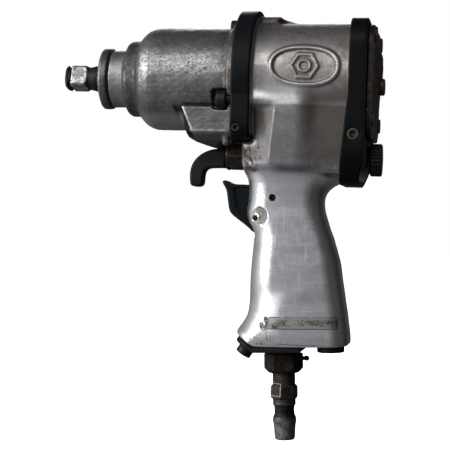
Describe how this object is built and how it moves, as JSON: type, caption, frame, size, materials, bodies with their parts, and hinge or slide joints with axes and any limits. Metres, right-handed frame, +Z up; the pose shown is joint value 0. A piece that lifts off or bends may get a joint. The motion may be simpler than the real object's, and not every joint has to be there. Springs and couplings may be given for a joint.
{
  "type": "pneumatic impact wrench",
  "caption": "Pistol-grip air impact wrench with a square drive, a trigger under the valve block, a reverse lever and a hose nipple at the base of the handle.",
  "frame": {"origin": "centre of the front end face of the square drive, on the spindle axis", "axes": "+X along the spindle to the rear of the tool, +Z up, +Y to the left of the tool"},
  "size_m": [0.1903, 0.0772, 0.2488],
  "materials": {
    "polished_aluminium": "polished, scratched",
    "cast_case": "rough cast, oily",
    "cover_aluminium": "cast, worn",
    "paper_gasket": "oiled",
    "black_rubber": "worn",
    "seal_orange": "matte",
    "black_oxide_steel": "black oxide",
    "zinc_steel": "zinc plated",
    "ground_steel": "ground",
    "end_plate_iron": "machined",
    "vane_composite": "resin fabric",
    "brass": "machined",
    "aged_valve_steel": "aged brown",
    "trigger_plastic": "satin",
    "black_plastic": "worn",
    "inlet_steel": "black, rusty edges",
    "nipple_steel": "dark, rusty",
    "strip_film": "scuffed film"
  },
  "bodies": {
    "shell": {"air_nipple": "nipple_steel", "base_plug": "black_oxide_steel", "case_bolt_1": "black_oxide_steel", "case_bolt_2": "black_oxide_steel", "case_bolt_3": "black_oxide_steel", "case_gasket": "paper_gasket", "cover_bolt_1": "zinc_steel", "cover_bolt_2": "zinc_steel", "cover_bolt_3": "zinc_steel", "cover_bolt_4": "zinc_steel", "end_plate": "black_plastic", "end_plate_screw": "black_oxide_steel", "front_bearing": "ground_steel", "front_bumper_ring": "black_rubber", "front_end_plate": "end_plate_iron", "hammer_case": "cast_case", "inlet_bushing": "inlet_steel", "inlet_screen": "brass", "lock_pin": "zinc_steel", "motor_cylinder": "ground_steel", "motor_housing": "polished_aluminium", "name_strip": "strip_film", "nose_bushing": "brass", "nose_o_ring": "black_rubber", "nose_seal": "black_rubber", "oil_plug": "zinc_steel", "rear_bearing": "ground_steel", "rear_bumper_ring": "black_rubber", "rear_cover": "cover_aluminium", "rear_end_plate": "end_plate_iron", "reverse_bush": "brass", "ring_screw_1": "black_oxide_steel", "ring_screw_2": "black_oxide_steel", "ring_screw_3": "zinc_steel", "ring_screw_4": "zinc_steel", "throttle_bush": "brass", "throttle_spring": "ground_steel", "trigger_pin": "ground_steel", "valve_pin": "ground_steel"},
    "output": {"anvil": "ground_steel", "retaining_ring": "black_oxide_steel"},
    "motor_rotor": {"rotor": "ground_steel", "hammer_cage": "ground_steel", "hammer_pin_1": "ground_steel", "hammer_pin_2": "ground_steel", "vane_1": "vane_composite", "vane_2": "vane_composite", "vane_3": "vane_composite", "vane_4": "vane_composite", "vane_5": "vane_composite", "vane_6": "vane_composite"},
    "front_hammer": {"hammer_1": "ground_steel"},
    "rear_hammer": {"hammer_2": "ground_steel"},
    "trigger_body": {"trigger": "trigger_plastic"},
    "throttle": {"throttle_stem": "ground_steel"},
    "reverser": {"reverse_lever": "black_plastic", "reverse_valve": "aged_valve_steel", "lever_seal": "seal_orange"},
    "regulator": {"regulator_knob": "zinc_steel"}
  },
  "joints": [
    {"name": "anvil_spin", "type": "hinge", "parent": "shell", "child": "output", "pos_m": [0, 0, 0], "axis": [1, 0, 0], "continuous": true},
    {"name": "rotor_spin", "type": "hinge", "parent": "shell", "child": "motor_rotor", "pos_m": [0.1185, 0, 0], "axis": [1, 0, 0], "continuous": true},
    {"name": "hammer_1_swing", "type": "hinge", "parent": "motor_rotor", "child": "front_hammer", "pos_m": [0.0662, 0, 0.0182], "axis": [1, 0, 0], "range_deg": [-2.5, 2.5]},
    {"name": "hammer_2_swing", "type": "hinge", "parent": "motor_rotor", "child": "rear_hammer", "pos_m": [0.0843, 0, -0.0182], "axis": [1, 0, 0], "range_deg": [-2.5, 2.5]},
    {"name": "trigger_pull", "type": "hinge", "parent": "shell", "child": "trigger_body", "pos_m": [0.1195, 0, -0.0806], "axis": [0, 1, 0], "range_deg": [0, 10]},
    {"name": "throttle_travel", "type": "slide", "parent": "shell", "child": "throttle", "axis": [1, 0, 0], "range_m": [0, 0.0022], "deforming": ["throttle_spring"]},
    {"name": "reverse_lever_turn", "type": "hinge", "parent": "shell", "child": "reverser", "pos_m": [0.0985, 0, -0.045], "axis": [1, 0, 0], "range_deg": [-35, 35]},
    {"name": "regulator_turn", "type": "hinge", "parent": "shell", "child": "regulator", "pos_m": [0.1865, 0, -0.045], "axis": [1, 0, 0], "range_deg": [-135, 135]}
  ],
  "couplings": [
    {"joint": "throttle_travel", "follows": "trigger_pull", "m_per_rad": 0.0122}
  ]
}
